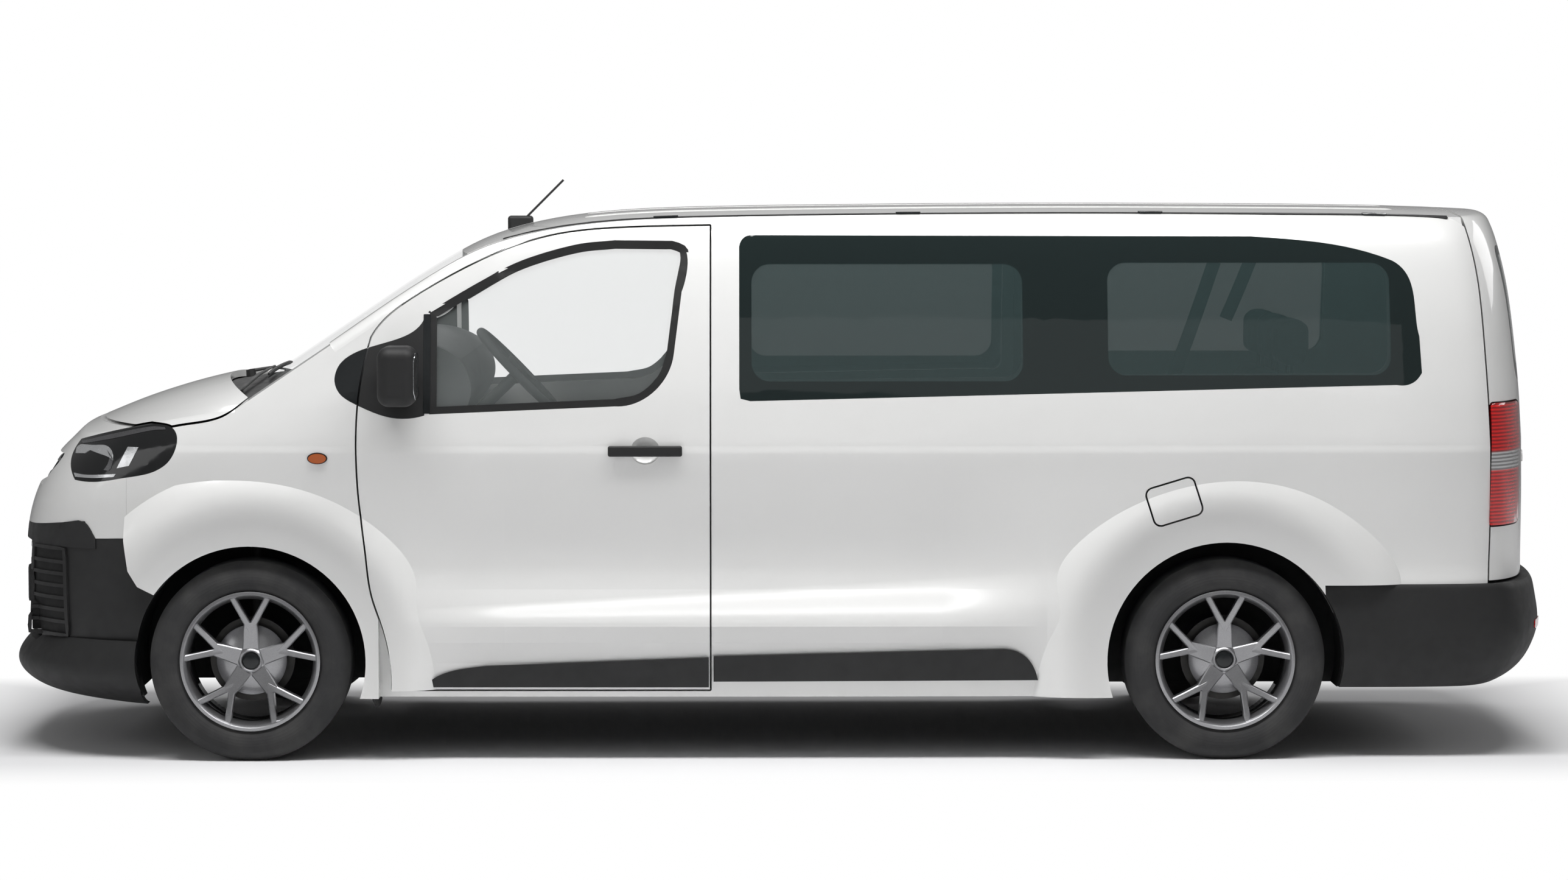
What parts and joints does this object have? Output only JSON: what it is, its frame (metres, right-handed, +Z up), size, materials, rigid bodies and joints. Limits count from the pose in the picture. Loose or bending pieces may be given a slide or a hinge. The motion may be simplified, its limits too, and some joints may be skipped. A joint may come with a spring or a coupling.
{
  "type": "minibus",
  "caption": "Long people carrier with a short bonnet, steered front wheels, hinged front doors, tailgate, bonnet and fuel flap.",
  "frame": {"origin": "on the ground, at mid length and mid width of the vehicle", "axes": "+Z up, +X to the rear, -Y to the vehicle's left side"},
  "size_m": [5.3117, 2.204, 1.946],
  "materials": {
    "paint": "gloss white",
    "cladding": "grained dark grey",
    "gloss_black": "gloss black",
    "glass_clear": "clear, slightly green",
    "glass_dark": "dark tint",
    "inner_trim": "satin dark grey",
    "seat_fabric": "woven",
    "lamp_red": "clear red",
    "lamp_clear": "clear lens",
    "undercoat": "matt undercoat",
    "chassis_metal": "dark",
    "engine_metal": "cast",
    "alloy": "painted satin silver",
    "tyre_rubber": "black",
    "disc_iron": "machined"
  },
  "bodies": {
    "body_shell": {"front_fascia": "paint", "fenders": "paint", "side_panel_left": "paint", "side_panel_right": "paint", "side_frame_left": "inner_trim", "side_frame_right": "inner_trim", "quarter_panes": "gloss_black", "sliding_door": "paint", "side_glass": "glass_dark", "sill_mouldings": "cladding", "windscreen": "glass_clear", "cowl": "cladding", "roof_panel": "paint", "tail_lamps": "lamp_red", "rear_bumper": "cladding", "front_bumper": "cladding", "grilles": "gloss_black", "headlamps": "lamp_clear", "underbody": "undercoat", "front_subframe": "chassis_metal", "rear_axle": "chassis_metal", "engine_block": "engine_metal", "exhaust": "chassis_metal", "dashboard": "inner_trim", "front_seats": "seat_fabric", "rear_seats": "seat_fabric", "antenna": "cladding"},
    "door_left": {"door_left": "paint", "door_glass_left": "glass_clear", "mirror_left": "cladding", "door_trim_left": "cladding"},
    "door_right": {"door_right": "paint", "door_glass_right": "glass_clear", "mirror_right": "cladding", "door_trim_right": "cladding"},
    "bonnet": {"bonnet": "paint"},
    "tailgate": {"tailgate": "paint", "tail_glass": "glass_dark"},
    "fuel_flap": {"fuel_flap": "paint"},
    "steering_wheel": {"steering_wheel": "inner_trim"},
    "knuckle_left": {"knuckle_left": "chassis_metal"},
    "knuckle_right": {"knuckle_right": "chassis_metal"},
    "wheel_front_left": {"rim_front_left": "alloy", "tyre_front_left": "tyre_rubber", "disc_front_left": "disc_iron"},
    "wheel_front_right": {"rim_front_right": "alloy", "tyre_front_right": "tyre_rubber", "disc_front_right": "disc_iron"},
    "wheel_rear_left": {"rim_rear_left": "alloy", "tyre_rear_left": "tyre_rubber", "disc_rear_left": "disc_iron"},
    "wheel_rear_right": {"rim_rear_right": "alloy", "tyre_rear_right": "tyre_rubber", "disc_rear_right": "disc_iron"}
  },
  "joints": [
    {"name": "steer_left", "type": "hinge", "parent": "body_shell", "child": "knuckle_left", "pos_m": [-1.7735, -0.752, 0.205], "axis": [0, 0.2288, 0.9735], "range_deg": [-32, 32]},
    {"name": "steer_right", "type": "hinge", "parent": "body_shell", "child": "knuckle_right", "pos_m": [-1.7735, 0.752, 0.205], "axis": [0, -0.2288, 0.9735], "range_deg": [-32, 32]},
    {"name": "spin_front_left", "type": "hinge", "parent": "knuckle_left", "child": "wheel_front_left", "pos_m": [-1.7735, -0.8135, 0.337], "axis": [0, 1, 0], "continuous": true},
    {"name": "spin_front_right", "type": "hinge", "parent": "knuckle_right", "child": "wheel_front_right", "pos_m": [-1.7735, 0.8135, 0.337], "axis": [0, 1, 0], "continuous": true},
    {"name": "spin_rear_left", "type": "hinge", "parent": "body_shell", "child": "wheel_rear_left", "pos_m": [1.5015, -0.809, 0.337], "axis": [0, 1, 0], "continuous": true},
    {"name": "spin_rear_right", "type": "hinge", "parent": "body_shell", "child": "wheel_rear_right", "pos_m": [1.5015, 0.809, 0.337], "axis": [0, 1, 0], "continuous": true},
    {"name": "steering_column", "type": "hinge", "parent": "body_shell", "child": "steering_wheel", "pos_m": [-0.891, -0.42, 1.285], "axis": [0.7193, 0, 0.6947], "range_deg": [-540, 540]},
    {"name": "door_left_hinge", "type": "hinge", "parent": "body_shell", "child": "door_left", "pos_m": [-1.335, -0.955, 0.8], "axis": [0, 0, -1], "range_deg": [0, 68]},
    {"name": "door_right_hinge", "type": "hinge", "parent": "body_shell", "child": "door_right", "pos_m": [-1.335, 0.955, 0.8], "axis": [0, 0, 1], "range_deg": [0, 68]},
    {"name": "tailgate_hinge", "type": "hinge", "parent": "body_shell", "child": "tailgate", "pos_m": [2.3192, 0, 1.852], "axis": [0, -1, 0], "range_deg": [0, 85]},
    {"name": "bonnet_hinge", "type": "hinge", "parent": "body_shell", "child": "bonnet", "pos_m": [-1.79, 0, 1.27], "axis": [0, 1, 0], "range_deg": [0, 55]},
    {"name": "fuel_flap_hinge", "type": "hinge", "parent": "body_shell", "child": "fuel_flap", "pos_m": [1.246, -0.954, 0.85], "axis": [0.2924, 0, -0.9563], "range_deg": [0, 85]}
  ],
  "couplings": [
    {"joint": "steer_right", "follows": "steer_left", "ratio": 1},
    {"joint": "steering_column", "follows": "steer_left", "ratio": 16.8}
  ]
}
